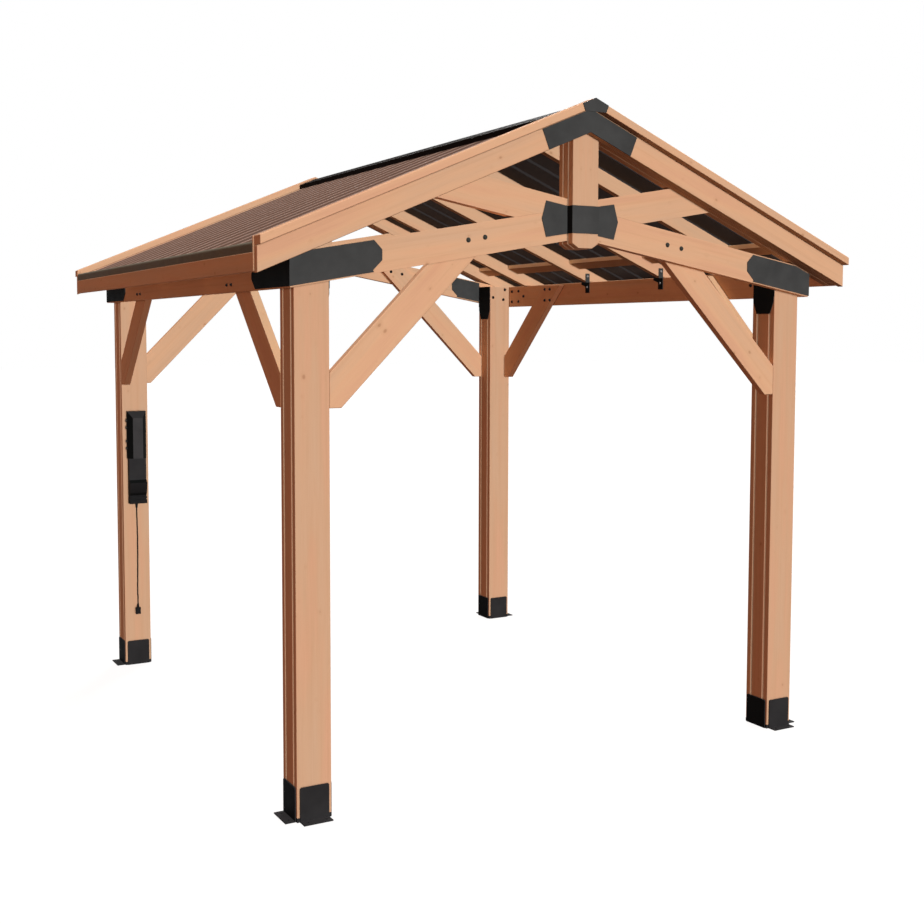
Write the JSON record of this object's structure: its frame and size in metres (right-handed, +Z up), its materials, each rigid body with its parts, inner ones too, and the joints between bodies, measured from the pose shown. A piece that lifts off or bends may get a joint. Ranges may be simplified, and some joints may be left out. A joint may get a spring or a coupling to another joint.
{
  "type": "garden gazebo",
  "caption": "Open timber garden gazebo with built-up posts, scissor-braced gables, black steel plates and a pitched metal roof.",
  "frame": {"origin": "on the ground, in the middle between the four posts", "axes": "+Z up, -Y out of the front gable, +X to the right seen from the front; the ridge runs along Y"},
  "size_m": [3.026, 3.07, 2.9397],
  "materials": {
    "timber": "satin",
    "black_steel": "satin",
    "roof_metal": "matte",
    "ridge_metal": "satin",
    "box_plastic": "matte",
    "cord_rubber": "matte"
  },
  "bodies": {
    "root": {"front_left_post_core": "timber", "front_left_post_boards": "timber", "front_right_post_core": "timber", "front_right_post_boards": "timber", "rear_left_post_core": "timber", "rear_left_post_boards": "timber", "rear_right_post_core": "timber", "rear_right_post_boards": "timber", "front_feet": "black_steel", "rear_feet": "black_steel", "left_beam": "timber", "right_beam": "timber", "front_ties": "timber", "rear_ties": "timber", "front_struts": "timber", "rear_struts": "timber", "front_king_core": "timber", "front_king_boards": "timber", "rear_king_core": "timber", "rear_king_boards": "timber", "front_gable_braces": "timber", "rear_gable_braces": "timber", "left_side_braces": "timber", "right_side_braces": "timber", "left_gable_rafters": "timber", "right_gable_rafters": "timber", "left_barge_boards": "timber", "right_barge_boards": "timber", "left_trims": "timber", "right_trims": "timber", "left_rafters": "timber", "right_rafters": "timber", "purlins": "timber", "fascia_boards": "timber", "left_roof_sheet": "roof_metal", "right_roof_sheet": "roof_metal", "drip_edges": "roof_metal", "ridge_cap": "ridge_metal", "corner_plates": "black_steel", "inner_brackets": "black_steel", "bow_tie_plates": "black_steel", "chevron_plates": "black_steel", "peak_caps": "black_steel", "rafter_clips": "black_steel", "power_box": "box_plastic", "power_cord": "cord_rubber", "power_plug": "box_plastic"}
  },
  "joints": []
}
